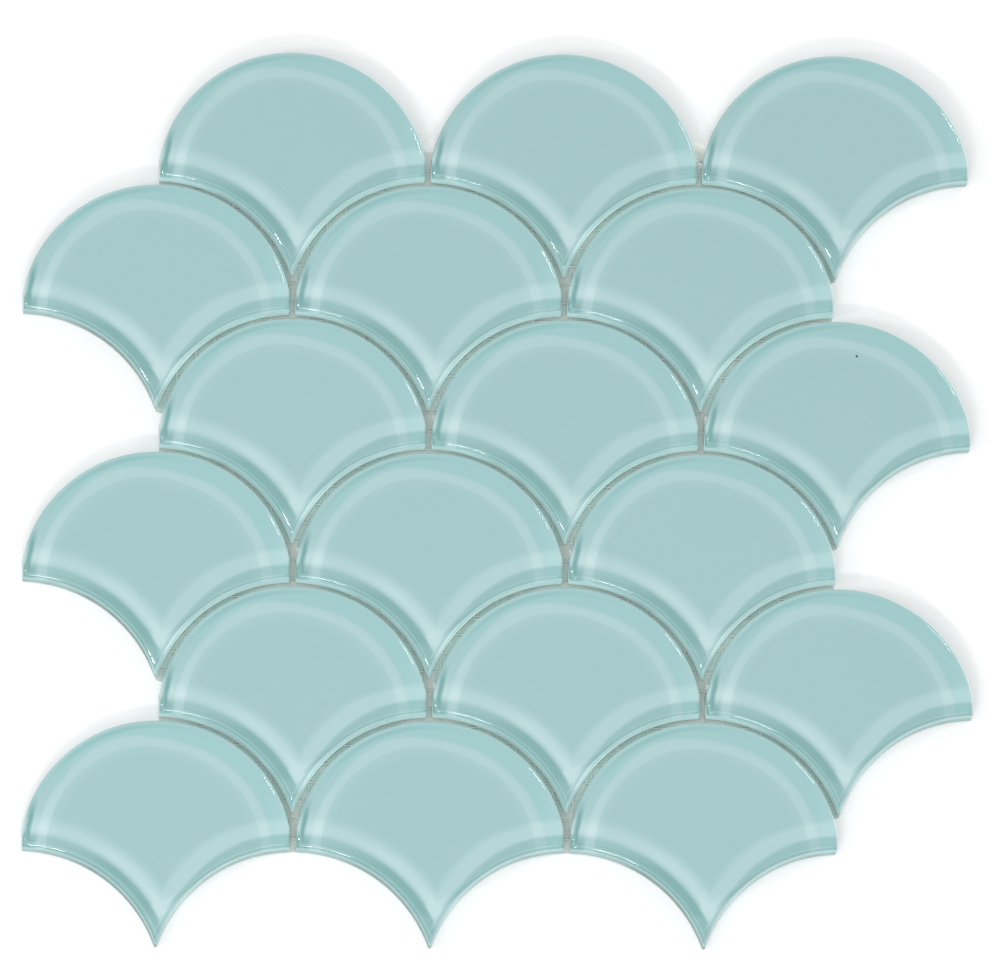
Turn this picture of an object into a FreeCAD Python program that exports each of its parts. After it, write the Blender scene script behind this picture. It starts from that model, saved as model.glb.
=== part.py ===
import FreeCAD, Part
import math
import os

import Sketcher

# A sheet of fish scale mosaic: rows of fan-shaped glass tiles, bonded by their backs to a net.
# X runs along the rows, Y from the lower tips up to the round tops, Z from the net to the glass.

# Driving dimensions in millimetres, and two counts.
DIMENSIONS = (
    ("columns", 3, "tiles in each row"),
    ("rows", 6, "rows of tiles"),
    ("column_pitch", 87.0, "centre to centre of two tiles in a row"),
    ("row_pitch", 43.5, "centre line of one row to the next"),
    ("side_joint", 2.1, "gap between two tiles of a row"),
    ("arc_joint", 2.3, "gap between the arcs of two rows"),
    ("side_cut", 0.9, "how far a tile's upright sides stand inside its round"),
    ("glass_thickness", 8.0, "height of a tile"),
    ("edge_radius", 1.5, "rounding of the tile's upper edge"),
    ("corner_radius", 0.5, "plan rounding of a tile's two side corners"),
    ("tip_radius", 0.5, "plan rounding of a tile's lower tip"),
    ("strand_pitch", 6.0, "centre to centre of two strands of the net"),
    ("strand_width", 0.8, "width of a flat strand"),
    ("strand_thickness", 0.25, "thickness of a flat strand"),
    ("net_trim", 2.5, "how far the net is cut back under the outer tile edges"),
    ("notch_cover", 10.0, "how far the net rises between the tiles of the top row"),
)

# Sizes that follow from the driving dimensions, as expressions for the model tree.
HALF_WIDTH = "(Dims.column_pitch - Dims.side_joint) / 2"
FAN_RADIUS = f"({HALF_WIDTH} + Dims.side_cut)"
HOLLOW_RADIUS = f"({FAN_RADIUS} + Dims.arc_joint)"
HALF_PITCH = "Dims.column_pitch / 2"
TIP_DROP = (
    "(Dims.row_pitch + Dims.tip_radius"
    f" - sqrt(pow({HOLLOW_RADIUS} + Dims.tip_radius; 2) - pow({HALF_PITCH}; 2)))"
)
RIM_SWEEP = f"180 deg - 2 * acos({HALF_WIDTH} / {FAN_RADIUS})"
SHOULDER = "Dims.glass_thickness - Dims.edge_radius"

# Ends of a sketch element, as the sketcher numbers them.
START, END, CENTRE = 1, 2, 3
X_AXIS, Y_AXIS = -1, -2
ORIGIN = (-1, 1)


def write_sheet(doc):
    """Puts the driving dimensions into a spreadsheet, each value under its own alias."""
    sheet = doc.addObject("Spreadsheet::Sheet", "Dims")
    for line, (alias, value, meaning) in enumerate(DIMENSIONS, start=1):
        sheet.set(f"A{line}", alias)
        sheet.set(f"B{line}", str(value))
        sheet.set(f"C{line}", meaning)
        sheet.setAlias(f"B{line}", alias)
    doc.recompute()
    return sheet


class Layout:
    """The sheet's numbers, and where the tiles stand."""

    def __init__(self, sheet):
        for alias, _, _ in DIMENSIONS:
            setattr(self, alias, float(sheet.get(alias)))
        self.columns = int(self.columns)
        self.rows = int(self.rows)
        self.half_width = (self.column_pitch - self.side_joint) / 2
        self.fan_radius = self.half_width + self.side_cut
        self.hollow_radius = self.fan_radius + self.arc_joint
        self.half_pitch = self.column_pitch / 2
        reach = self.hollow_radius + self.tip_radius
        self.tip_centre = math.sqrt(reach**2 - self.half_pitch**2) - self.row_pitch
        self.tip_drop = self.tip_radius - self.tip_centre

    def shift(self, row):
        """Rows lean right and left by turns, by a quarter of the pitch."""
        return self.column_pitch / 4 * (1 if row % 2 == 0 else -1)

    def x(self, row, column):
        return (column - (self.columns - 1) / 2) * self.column_pitch + self.shift(row)

    def y(self, row):
        middle = (self.rows - 1) / 2
        return (middle - row) * self.row_pitch + (self.tip_drop - self.fan_radius) / 2

    def tiles(self):
        return [(row, column) for row in range(self.rows) for column in range(self.columns)]


def origin_plane(body, role):
    return next(part for part in body.Origin.OriginFeatures if part.Role == role)


def new_sketch(body, name, role):
    sketch = body.newObject("Sketcher::SketchObject", name)
    sketch.AttachmentSupport = [(origin_plane(body, role), "")]
    sketch.MapMode = "FlatFace"
    return sketch


def constrain(sketch, expression, kind, *where, value):
    """Adds a driving constraint and ties it to the sheet."""
    index = sketch.addConstraint(Sketcher.Constraint(kind, *where, value))
    sketch.setExpression(f"Constraints[{index}]", expression)


def arc(centre, radius, start, end):
    """An arc about centre, anticlockwise from the point start to the point end."""
    circle = Part.Circle(centre, FreeCAD.Vector(0, 0, 1), radius)
    return Part.ArcOfCircle(circle, circle.parameter(start), circle.parameter(end))


def towards(start, goal, distance):
    """The point at that distance from start, on the way to goal."""
    return start + (goal - start).normalize() * distance


def mirrored(point):
    return FreeCAD.Vector(-point.x, point.y, point.z)


def draw_outline(sketch, layout):
    """The fan: a round top, short upright sides, two hollows for the tiles below, and a tip."""
    fan_centre = FreeCAD.Vector()
    right_hollow = FreeCAD.Vector(layout.half_pitch, -layout.row_pitch, 0)
    left_hollow = mirrored(right_hollow)
    corner_x = layout.half_width - layout.corner_radius
    corner_reach = layout.hollow_radius + layout.corner_radius
    corner_rise = math.sqrt(corner_reach**2 - (layout.half_pitch - corner_x) ** 2)
    right_corner = FreeCAD.Vector(corner_x, corner_rise - layout.row_pitch, 0)
    left_corner = mirrored(right_corner)
    tip = FreeCAD.Vector(0, layout.tip_centre, 0)

    side_top = math.sqrt(layout.fan_radius**2 - layout.half_width**2)
    right_shoulder = FreeCAD.Vector(layout.half_width, side_top, 0)
    left_shoulder = mirrored(right_shoulder)
    right_foot = FreeCAD.Vector(layout.half_width, right_corner.y, 0)
    left_foot = mirrored(right_foot)
    right_heel = towards(right_hollow, right_corner, layout.hollow_radius)
    left_heel = mirrored(right_heel)
    right_toe = towards(right_hollow, tip, layout.hollow_radius)
    left_toe = mirrored(right_toe)

    fan = sketch.addGeometry(arc(fan_centre, layout.fan_radius, right_shoulder, left_shoulder))
    side_l = sketch.addGeometry(Part.LineSegment(left_shoulder, left_foot))
    corner_l = sketch.addGeometry(arc(left_corner, layout.corner_radius, left_foot, left_heel))
    hollow_l = sketch.addGeometry(arc(left_hollow, layout.hollow_radius, left_toe, left_heel))
    point = sketch.addGeometry(arc(tip, layout.tip_radius, left_toe, right_toe))
    hollow_r = sketch.addGeometry(arc(right_hollow, layout.hollow_radius, right_heel, right_toe))
    corner_r = sketch.addGeometry(arc(right_corner, layout.corner_radius, right_heel, right_foot))
    side_r = sketch.addGeometry(Part.LineSegment(right_foot, right_shoulder))

    for kind, first, first_end, second, second_end in (
        ("Coincident", fan, END, side_l, START),
        ("Tangent", side_l, END, corner_l, START),
        ("Tangent", corner_l, END, hollow_l, END),
        ("Tangent", hollow_l, START, point, START),
        ("Tangent", point, END, hollow_r, END),
        ("Tangent", hollow_r, START, corner_r, START),
        ("Tangent", corner_r, END, side_r, START),
        ("Coincident", side_r, END, fan, START),
        ("Coincident", fan, CENTRE, *ORIGIN),
    ):
        sketch.addConstraint(Sketcher.Constraint(kind, first, first_end, second, second_end))
    for side in (side_l, side_r):
        sketch.addConstraint(Sketcher.Constraint("Vertical", side))
    sketch.addConstraint(
        Sketcher.Constraint("Symmetric", hollow_l, CENTRE, hollow_r, CENTRE, Y_AXIS)
    )
    sketch.addConstraint(Sketcher.Constraint("Equal", hollow_l, hollow_r))
    sketch.addConstraint(Sketcher.Constraint("Equal", corner_l, corner_r))
    constrain(sketch, FAN_RADIUS, "Radius", fan, value=layout.fan_radius)
    constrain(sketch, HOLLOW_RADIUS, "Radius", hollow_l, value=layout.hollow_radius)
    constrain(sketch, "Dims.corner_radius", "Radius", corner_l, value=layout.corner_radius)
    constrain(sketch, "Dims.tip_radius", "Radius", point, value=layout.tip_radius)
    half_width = layout.half_width
    constrain(sketch, HALF_WIDTH, "DistanceX", *ORIGIN, side_r, START, value=half_width)
    constrain(sketch, HALF_WIDTH, "DistanceX", side_l, END, *ORIGIN, value=half_width)
    constrain(
        sketch, HALF_PITCH, "DistanceX", *ORIGIN, hollow_r, CENTRE, value=layout.half_pitch
    )
    constrain(
        sketch, "Dims.row_pitch", "DistanceY", hollow_r, CENTRE, *ORIGIN, value=layout.row_pitch
    )
    return sketch


def draw_edge_profile(sketch, layout, wall, inward, wall_expression, axis, axis_expression):
    """Section of what is ground off an upper edge, and the upright axis that it turns about.

    wall is the face's distance from the axis, and inward is the way into the glass.
    """
    radius = layout.edge_radius
    shoulder = layout.glass_thickness - radius
    foot = FreeCAD.Vector(axis + wall, shoulder, 0)
    round_centre = foot + FreeCAD.Vector(inward * radius, 0, 0)
    crown = round_centre + FreeCAD.Vector(0, radius, 0)
    above = crown + FreeCAD.Vector(0, radius, 0)
    outside = FreeCAD.Vector(foot.x - inward * radius, shoulder, 0)
    far = FreeCAD.Vector(outside.x, above.y, 0)

    ends = (foot, crown) if inward < 0 else (crown, foot)
    rounding = sketch.addGeometry(arc(round_centre, radius, *ends))
    foot_end, crown_end = (START, END) if inward < 0 else (END, START)
    rise = sketch.addGeometry(Part.LineSegment(crown, above))
    roof = sketch.addGeometry(Part.LineSegment(above, far))
    side = sketch.addGeometry(Part.LineSegment(far, outside))
    ledge = sketch.addGeometry(Part.LineSegment(outside, foot))
    turning_axis = sketch.addGeometry(
        Part.LineSegment(FreeCAD.Vector(axis, 0, 0), FreeCAD.Vector(axis, shoulder, 0)), True
    )

    for first, first_end, second, second_end in (
        (rounding, crown_end, rise, START),
        (rise, END, roof, START),
        (roof, END, side, START),
        (side, END, ledge, START),
        (ledge, END, rounding, foot_end),
    ):
        sketch.addConstraint(
            Sketcher.Constraint("Coincident", first, first_end, second, second_end)
        )
    for line in (rise, side, turning_axis):
        sketch.addConstraint(Sketcher.Constraint("Vertical", line))
    for line in (roof, ledge):
        sketch.addConstraint(Sketcher.Constraint("Horizontal", line))
    sketch.addConstraint(Sketcher.Constraint("Vertical", rounding, CENTRE, rounding, crown_end))
    sketch.addConstraint(Sketcher.Constraint("Horizontal", rounding, CENTRE, rounding, foot_end))
    sketch.addConstraint(Sketcher.Constraint("PointOnObject", turning_axis, START, X_AXIS))
    sketch.addConstraint(
        Sketcher.Constraint("Horizontal", turning_axis, END, rounding, CENTRE)
    )
    constrain(sketch, "Dims.edge_radius", "Radius", rounding, value=radius)
    constrain(sketch, "Dims.edge_radius", "DistanceY", rise, START, rise, END, value=radius)
    sideways = (ledge, START, ledge, END) if inward > 0 else (ledge, END, ledge, START)
    constrain(sketch, "Dims.edge_radius", "DistanceX", *sideways, value=radius)
    constrain(sketch, SHOULDER, "DistanceY", *ORIGIN, rounding, foot_end, value=shoulder)
    constrain(
        sketch, wall_expression, "DistanceX", turning_axis, END, rounding, foot_end, value=wall
    )
    if axis_expression:
        constrain(
            sketch, axis_expression, "DistanceX", turning_axis, START, *ORIGIN, value=-axis
        )
    else:
        sketch.addConstraint(Sketcher.Constraint("PointOnObject", turning_axis, START, Y_AXIS))


def grind_edge(body, name, sketch, sweep):
    """Turns the edge section both ways about its axis and takes it off the tile."""
    groove = body.newObject("PartDesign::Groove", name)
    groove.Profile = sketch
    groove.ReferenceAxis = (sketch, ["Axis0"])
    groove.Midplane = True
    groove.setExpression("Angle", sweep)
    body.Document.recompute()
    return groove


def make_tile(doc, layout, row, column):
    """One glass tile, its fan centre at the body's origin, standing on the net."""
    label = f"scale_r{row + 1}_c{column + 1}"
    body = doc.addObject("PartDesign::Body", label)
    body.Label = label

    outline = draw_outline(new_sketch(body, f"{label}_outline", "XY_Plane"), layout)
    pad = body.newObject("PartDesign::Pad", f"{label}_glass")
    pad.Profile = outline
    pad.setExpression("Length", "Dims.glass_thickness")
    doc.recompute()

    rim_section = new_sketch(body, f"{label}_rim_section", "YZ_Plane")
    draw_edge_profile(rim_section, layout, layout.fan_radius, -1, FAN_RADIUS, 0.0, None)
    rim = grind_edge(body, f"{label}_rim", rim_section, RIM_SWEEP)

    side_section = new_sketch(body, f"{label}_side_section", "XZ_Plane")
    draw_edge_profile(side_section, layout, layout.half_width, -1, HALF_WIDTH, 0.0, None)
    side = body.newObject("PartDesign::Pocket", f"{label}_side")
    side.Profile = side_section
    side.SideType = "Symmetric"
    side.Type = "ThroughAll"
    doc.recompute()

    hollow_section = new_sketch(body, f"{label}_hollow_section", "XZ_Plane")
    hollow_section.setExpression("AttachmentOffset.Base.z", "Dims.row_pitch")
    draw_edge_profile(
        hollow_section, layout, layout.hollow_radius, 1, HOLLOW_RADIUS, -layout.half_pitch, HALF_PITCH
    )
    hollow = grind_edge(body, f"{label}_hollow", hollow_section, "360 deg")

    other_edges = body.newObject("PartDesign::Mirrored", f"{label}_other_edges")
    other_edges.Originals = [side, hollow]
    other_edges.MirrorPlane = (origin_plane(body, "YZ_Plane"), [""])
    body.Tip = other_edges

    middle = "(Dims.columns - 1) / 2"
    lean = "+" if layout.shift(row) > 0 else "-"
    body.setExpression(
        "Placement.Base.x", f"({column} - {middle}) * Dims.column_pitch {lean} Dims.column_pitch / 4"
    )
    body.setExpression(
        "Placement.Base.y",
        f"((Dims.rows - 1) / 2 - {row}) * Dims.row_pitch + ({TIP_DROP} - {FAN_RADIUS}) / 2",
    )
    body.setExpression("Placement.Base.z", "2 * Dims.strand_thickness")
    doc.recompute()

    volumes = [feature.Shape.Volume for feature in (pad, rim, side, hollow, other_edges)]
    for earlier, later in zip(volumes, volumes[1:]):
        if later >= earlier:
            raise RuntimeError(f"{label}: an edge was not ground, {volumes}")
    return body


def plate(left, right, bottom, top, height):
    corner = FreeCAD.Vector(left, bottom, 0)
    return Part.makeBox(right - left, top - bottom, height, corner)


def cut_back_tile(layout, row, column, height):
    """A tile's plan without its roundings, cut back by the net's trim."""
    trim = layout.net_trim
    centre = FreeCAD.Vector(layout.x(row, column), layout.y(row), 0)
    fan = Part.makeCylinder(layout.fan_radius - trim, height, centre)
    half_width = layout.half_width - trim
    low, high = centre.y - layout.tip_drop, centre.y + layout.fan_radius
    sides = plate(centre.x - half_width, centre.x + half_width, low, high, height)
    hollows = [
        Part.makeCylinder(
            layout.hollow_radius + trim,
            height,
            centre + FreeCAD.Vector(side * layout.half_pitch, -layout.row_pitch, 0),
        )
        for side in (-1, 1)
    ]
    return fan.common(sides).cut(hollows)


def net_plan(layout, height):
    """The net's area: hidden under the outer edges, cut straight across the open joints."""
    first, last = layout.y(0), layout.y(layout.rows - 1)
    half_width = (
        (layout.columns - 1) / 2 * layout.column_pitch
        - layout.column_pitch / 4
        + layout.half_width
        - layout.net_trim
    )
    joint_end = last + layout.hollow_radius - layout.row_pitch
    pieces = [plate(-half_width, half_width, joint_end, first, height)]
    right_end = layout.columns - 1
    pieces.append(
        plate(layout.x(0, 0), layout.x(0, right_end), first, first + layout.notch_cover, height)
    )
    # At the sheet's sides each joint is cut off level with the tip of the tile above it.
    for row in range(layout.rows - 1):
        tip_level = layout.y(row) - layout.tip_drop
        if layout.shift(row) > 0:
            outer = layout.x(row, right_end)
            pieces.append(plate(outer - layout.half_pitch, outer, tip_level, layout.y(row), height))
        else:
            outer = layout.x(row, 0)
            pieces.append(plate(outer, outer + layout.half_pitch, tip_level, layout.y(row), height))
    pieces += [cut_back_tile(layout, row, column, height) for row, column in layout.tiles()]
    return pieces[0].multiFuse(pieces[1:]).removeSplitter()


def strand_places(length, pitch):
    """Middles of the strands across a length, spread evenly about its middle."""
    count = int(length // pitch)
    return [(number - (count - 1) / 2) * pitch for number in range(count)]


def make_strands(doc, layout, label, plan, lengthwise, height):
    """One layer of parallel strands, each cut off where the net's area ends."""
    box = plan.BoundBox
    half = layout.strand_width / 2
    across = box.XLength if lengthwise else box.YLength
    strands = []
    for place in strand_places(across, layout.strand_pitch):
        if lengthwise:
            low, high = place - half, place + half
            blank = plate(low, high, box.YMin, box.YMax, layout.strand_thickness)
        else:
            low, high = box.Center.y + place - half, box.Center.y + place + half
            blank = plate(box.XMin, box.XMax, low, high, layout.strand_thickness)
        cut = plan.common(blank)
        # An end too short to cross another strand falls off when the net is cut.
        strands += [
            solid
            for solid in cut.Solids
            if max(solid.BoundBox.XLength, solid.BoundBox.YLength) > layout.strand_pitch
        ]
    layer = doc.addObject("Part::Feature", label)
    layer.Label = label
    layer.Shape = Part.makeCompound(strands)
    layer.Placement = FreeCAD.Placement(FreeCAD.Vector(0, 0, height), FreeCAD.Rotation())
    return layer


def check(doc, sub_parts):
    """Stops before anything is written if an object failed or a sub-part is unsound."""
    for thing in doc.Objects:
        if "Invalid" in thing.State or "Error" in thing.State:
            raise RuntimeError(f"{thing.Label} failed: {thing.State}")
    for part in sub_parts:
        if part.Shape.isNull() or not part.Shape.isValid() or not part.Shape.Solids:
            raise RuntimeError(f"{part.Label} has no sound shape")


def main():
    doc = FreeCAD.newDocument("FishScaleSheet")
    layout = Layout(write_sheet(doc))

    sub_parts = [make_tile(doc, layout, row, column) for row, column in layout.tiles()]
    plan = net_plan(layout, layout.strand_thickness)
    sub_parts.append(make_strands(doc, layout, "mesh_warp", plan, True, 0.0))
    sub_parts.append(make_strands(doc, layout, "mesh_weft", plan, False, layout.strand_thickness))
    doc.recompute()
    check(doc, sub_parts)

    os.makedirs("parts", exist_ok=True)
    for part in sub_parts:
        part.Shape.exportStep(f"parts/{part.Label}.step")
        box = part.Shape.BoundBox
        print(part.Label, len(part.Shape.Solids), round(part.Shape.Volume, 1), box)


main()
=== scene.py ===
import math

import bmesh
import bpy
from bpy.props import FloatProperty, FloatVectorProperty, PointerProperty
from bpy.types import Operator, Panel, PropertyGroup
from mathutils import Euler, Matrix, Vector


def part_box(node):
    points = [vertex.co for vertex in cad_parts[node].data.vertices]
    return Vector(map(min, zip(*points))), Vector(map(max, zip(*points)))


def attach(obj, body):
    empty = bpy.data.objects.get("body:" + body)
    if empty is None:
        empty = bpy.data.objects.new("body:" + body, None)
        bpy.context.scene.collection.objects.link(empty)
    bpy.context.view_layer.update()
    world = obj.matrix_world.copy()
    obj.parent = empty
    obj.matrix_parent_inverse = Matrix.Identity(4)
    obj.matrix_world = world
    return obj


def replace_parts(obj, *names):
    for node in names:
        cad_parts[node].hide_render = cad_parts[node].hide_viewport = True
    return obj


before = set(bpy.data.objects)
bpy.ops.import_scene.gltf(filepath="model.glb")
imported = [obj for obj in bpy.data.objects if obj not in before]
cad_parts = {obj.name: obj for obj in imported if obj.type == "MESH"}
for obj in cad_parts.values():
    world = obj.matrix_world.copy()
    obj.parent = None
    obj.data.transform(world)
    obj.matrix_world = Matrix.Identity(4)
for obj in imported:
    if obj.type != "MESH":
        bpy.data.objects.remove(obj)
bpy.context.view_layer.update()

bl_info = {
    "name": "Fish scale mosaic sheet",
    "version": (1, 0, 0),
    "blender": (4, 5, 0),
    "location": "View3D > Sidebar > Mosaic",
    "description": "Dresses the solids of a sheet of fan-shaped glass tiles on a net",
    "category": "Object",
}

MM = 0.001
UP = Vector((0, 0, 1))
BLACK = (0, 0, 0, 1)
WHITE = (1, 1, 1, 1)
PLAN_MAP = "tile_plan"
YARN_MAP = "yarn_run"

# The tile nodes, by row from the top and by column from the left.
ROWS = 6
COLUMNS = 3
TILE_NODES = {
    (row, column): f"scale_r{row + 1}_c{column + 1}"
    for row in range(ROWS)
    for column in range(COLUMNS)
}
WARP_NODE = "mesh_warp"
WEFT_NODE = "mesh_weft"
TILE_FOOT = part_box(TILE_NODES[0, 0])[0].z
TILE_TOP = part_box(TILE_NODES[0, 0])[1].z

# Steps of each arc in a tile's outline and of its rounded upper edge.
FAN_STEPS = 72
HOLLOW_STEPS = 39
CORNER_STEPS = 3
TIP_STEPS = 4
EDGE_STEPS = 8

# Lengths in metres that count as nothing, and half of a unit shape that is scaled to size.
WELD = 1e-7
MERGE = 10 * WELD
HALF = 0.5

# The curve between a screen's values and light.
SCREEN_TOP = 255
TOE_END = 0.04045
TOE_SLOPE = 12.92
CURVE_SHIFT = 0.055
CURVE_POWER = 2.4


def linear(red, green, blue):
    """A colour given as it looks on a screen, from 0 to 255, as the light that makes it."""
    parts = [value / SCREEN_TOP for value in (red, green, blue)]
    return tuple(
        part / TOE_SLOPE
        if part <= TOE_END
        else ((part + CURVE_SHIFT) / (1 + CURVE_SHIFT)) ** CURVE_POWER
        for part in parts
    )


LENGTH_DIGITS = 5


def length(name, description, default):
    return FloatProperty(
        name=name,
        description=description,
        default=default,
        min=0,
        precision=LENGTH_DIGITS,
        unit="LENGTH",
    )


def colour(name, description, default):
    return FloatVectorProperty(
        name=name, description=description, default=default, min=0, max=1, subtype="COLOR"
    )


class TileSizes(PropertyGroup):
    """Plan and section of one tile."""

    pitch: length("Pitch", "Centre to centre of two tiles in a row", 87 * MM)
    row_pitch: length("Row pitch", "Centre line of one row to the next", 43.5 * MM)
    half_width: length("Half width", "Middle of a tile to its upright side", 42.45 * MM)
    fan_radius: length("Fan radius", "Radius of the round top", 43.35 * MM)
    hollow_radius: length("Hollow radius", "Radius of the two hollow sides", 45.65 * MM)
    corner_radius: length("Corner radius", "Plan rounding of the side corners", 0.5 * MM)
    tip_radius: length("Tip radius", "Plan rounding of the lower tip", 0.5 * MM)
    edge_radius: length("Edge radius", "Rounding of the upper edge", 1.5 * MM)
    flat_margin: length("Flat margin", "Strip of flat top kept next to the rounded edge", 0.8 * MM)


class GlassColours(PropertyGroup):
    """Colours of the glass over its coloured back."""

    # Painted light and shade: deep, dim, pale and bright are the dark bands, glow and ring that light
    # makes in the glass, and mint tints the band outside the ring.
    deep: colour("Deep", "Darkest band inside the hollow sides", linear(119, 171, 169))
    dim: colour("Dim", "Lighter part of the dark bands", linear(146, 189, 188))
    body: colour("Body", "Field of the tile", linear(161, 200, 201))
    pale: colour("Pale", "Ring inside the round top", linear(174, 209, 211))
    bright: colour("Bright", "Brightest part of the glow", linear(205, 231, 232))
    mint: colour("Mint", "Cast of the band between the ring and the edge", (0.91, 1.0, 0.99))
    wall: colour("Wall", "Side of the glass", linear(74, 90, 89))
    # Painted glow: the carried light is given as emission on the glass's edges and sides and in the
    # joints.
    carried: colour("Carried light", "Light that the glass carries to its sides", linear(205, 245, 243))
    foot: colour("Foot", "Lowest part of the side, at the coat and glue", linear(178, 188, 182))
    coat: colour("Coat", "Painted back of the glass", linear(176, 196, 195))
    speck: colour("Speck", "Speck of dirt on one tile", linear(40, 44, 44))


class NetSizes(PropertyGroup):
    """The net and the adhesive."""

    strand_pitch: length("Strand pitch", "Centre to centre of two strands", 6 * MM)
    weft_width: length("Weft width", "Width of a flat weft strand", 0.8 * MM)
    weft_height: length("Weft height", "Thickness of a flat weft strand", 0.22 * MM)
    warp_width: length("Warp yarn width", "Width of each of the two twisted warp yarns", 0.42 * MM)
    warp_height: length("Warp yarn height", "Thickness of a warp yarn", 0.2 * MM)
    warp_twist: length("Warp twist", "Sideways swing of the twisted warp yarns", 0.2 * MM)
    crimp: length("Crimp", "Rise and fall of the strands where they cross", 0.11 * MM)
    film_level: length("Film level", "Height of the adhesive film in the joints", 0.1 * MM)
    film_height: length("Film thickness", "Thickness of the adhesive film", 0.12 * MM)
    yarn: colour("Yarn", "Glass-fibre yarn", linear(245, 243, 238))
    # Painted light: the pale film at the crowns and uprights stands for more light falling in there,
    # and it also colours pale blotches. The film's green cast is partly light tinted by the glass.
    film: colour("Film", "Adhesive film", linear(199, 218, 212))
    film_pale_and_lit: colour("Pale film", "Adhesive film where it is thick", linear(226, 223, 218))
    glue: colour("Glue", "Strings of glue in two notches", linear(240, 240, 238))
    glue_radius: length("Glue radius", "Half thickness of a string of glue", 0.17 * MM)


class StageSettings(PropertyGroup):
    """Camera, floor and light."""

    tilt: FloatProperty(
        name="Tilt",
        description="Lean of the view towards the lower edge",
        default=math.radians(10.962),
        subtype="ANGLE",
    )
    sway: FloatProperty(
        name="Sway",
        description="Lean of the view towards the left",
        default=math.radians(-2.622),
        subtype="ANGLE",
    )
    roll: FloatProperty(
        name="Roll", description="Turn of the picture", default=math.radians(-0.187), subtype="ANGLE"
    )
    aim: FloatVectorProperty(
        name="Aim",
        description="Point in the middle of the picture",
        default=(0.84 * MM, 2.67 * MM, 7 * MM),
        subtype="TRANSLATION",
        unit="LENGTH",
    )
    distance: length("Distance", "Camera to aim", 5.0)
    lens: FloatProperty(name="Lens", description="Focal length in millimetres", default=564.75)
    floor_size: length("Floor size", "Side of the square floor", 12.0)
    floor: colour("Floor", "White ground", (0.9, 0.9, 0.9))
    floor_lift: FloatProperty(
        name="Floor lift", description="Whiteness added to the ground in the picture", default=0.19
    )
    sky: FloatProperty(name="Sky", description="Level of the even light", default=0.63)


class MosaicSettings(PropertyGroup):
    """All the sheet's settings."""

    tile: PointerProperty(type=TileSizes)
    glass: PointerProperty(type=GlassColours)
    net: PointerProperty(type=NetSizes)
    stage: PointerProperty(type=StageSettings)


class Field:
    """A number that varies over a surface, as a shader socket with Python arithmetic."""

    def __init__(self, finish, socket):
        self.finish = finish
        self.socket = socket

    def __add__(self, other):
        return self.finish.math("ADD", self, other)

    def __radd__(self, other):
        return self.finish.math("ADD", other, self)

    def __sub__(self, other):
        return self.finish.math("SUBTRACT", self, other)

    def __rsub__(self, other):
        return self.finish.math("SUBTRACT", other, self)

    def __mul__(self, other):
        return self.finish.math("MULTIPLY", self, other)

    def __rmul__(self, other):
        return self.finish.math("MULTIPLY", other, self)

    def __truediv__(self, other):
        return self.finish.math("DIVIDE", self, other)

    def __rtruediv__(self, other):
        return self.finish.math("DIVIDE", other, self)

    def __pow__(self, other):
        return self.finish.math("POWER", self, other)


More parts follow.
